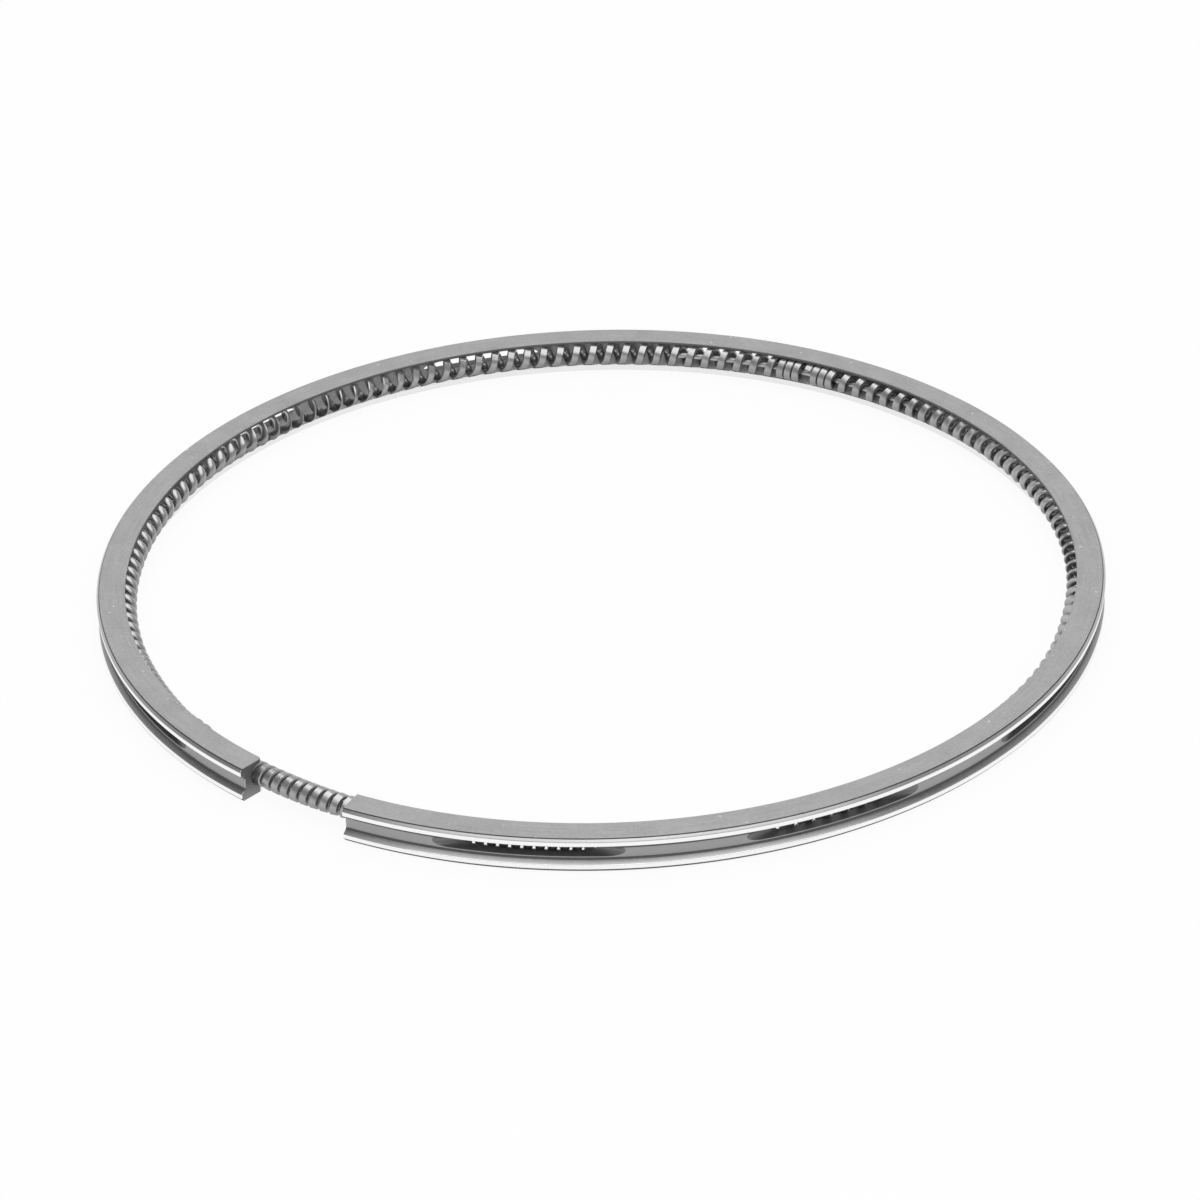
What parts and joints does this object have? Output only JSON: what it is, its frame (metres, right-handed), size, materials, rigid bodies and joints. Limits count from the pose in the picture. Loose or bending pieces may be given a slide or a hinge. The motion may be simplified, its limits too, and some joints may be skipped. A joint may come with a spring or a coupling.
{
  "type": "oil control piston ring",
  "caption": "Oil control piston ring: a split ring with scraper lands, drain slots and an inner groove that holds a coil spring expander pressing it against the cylinder wall.",
  "frame": {"origin": "on the ring's axis, in the plane of its bottom side", "axes": "+Z along the ring's axis from the bottom side to the top side, -Y through the middle of the free gap, +X completes a right-handed frame"},
  "size_m": [0.0832, 0.0829, 0.003],
  "materials": {
    "ring_body": "fine ground sides, bright lapped scraper lands, dull turned channel",
    "spring_wire": "drawn spring wire, ground bright on the outside of the coils",
    "joining_wire": "plain drawn wire"
  },
  "bodies": {
    "root": {"ring_body": "ring_body", "coil_spring": "spring_wire", "joining_wire": "joining_wire"}
  },
  "joints": []
}
